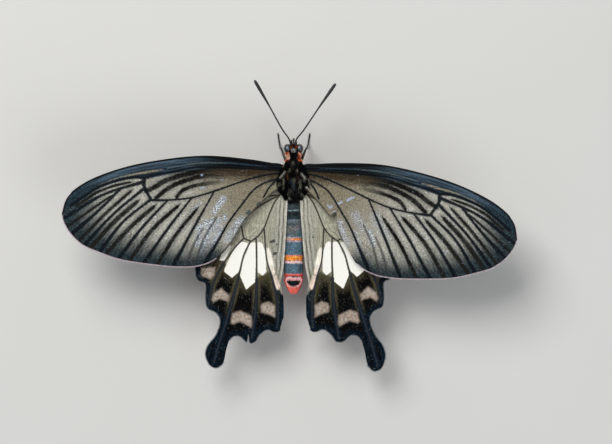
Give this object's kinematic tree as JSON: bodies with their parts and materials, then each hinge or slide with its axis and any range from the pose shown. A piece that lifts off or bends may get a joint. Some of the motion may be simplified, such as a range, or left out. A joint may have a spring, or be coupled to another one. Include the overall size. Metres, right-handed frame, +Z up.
{
  "type": "common rose butterfly",
  "caption": "Life-size swallowtail butterfly standing on its feet with dark veined wings spread flat, tailed hindwings and clubbed antennae.",
  "frame": {"origin": "middle of the animal's box, on the floor that its feet stand on", "axes": "+X to the animal's left along the wingspan, +Y from head to tail, +Z up"},
  "size_m": [0.0982, 0.0634, 0.0176],
  "materials": {
    "fur_black": "matt black fur",
    "abdomen": "satin plates with red and cream bands",
    "eye": "glossy, finely faceted",
    "cuticle": "satin black",
    "forewing": "fine scales, satin",
    "hindwing": "fine scales, velvety"
  },
  "bodies": {
    "root": {"head": "fur_black", "thorax": "fur_black", "abdomen": "abdomen", "eye_left": "eye", "eye_right": "eye", "palp_left": "fur_black", "palp_right": "fur_black", "proboscis": "cuticle", "antenna_left": "cuticle", "antenna_right": "cuticle", "foreleg_left": "cuticle", "foreleg_right": "cuticle", "midleg_left": "cuticle", "midleg_right": "cuticle", "hindleg_left": "cuticle", "hindleg_right": "cuticle", "forewing_left": "forewing", "forewing_right": "forewing", "hindwing_left": "hindwing", "hindwing_right": "hindwing"}
  },
  "joints": []
}
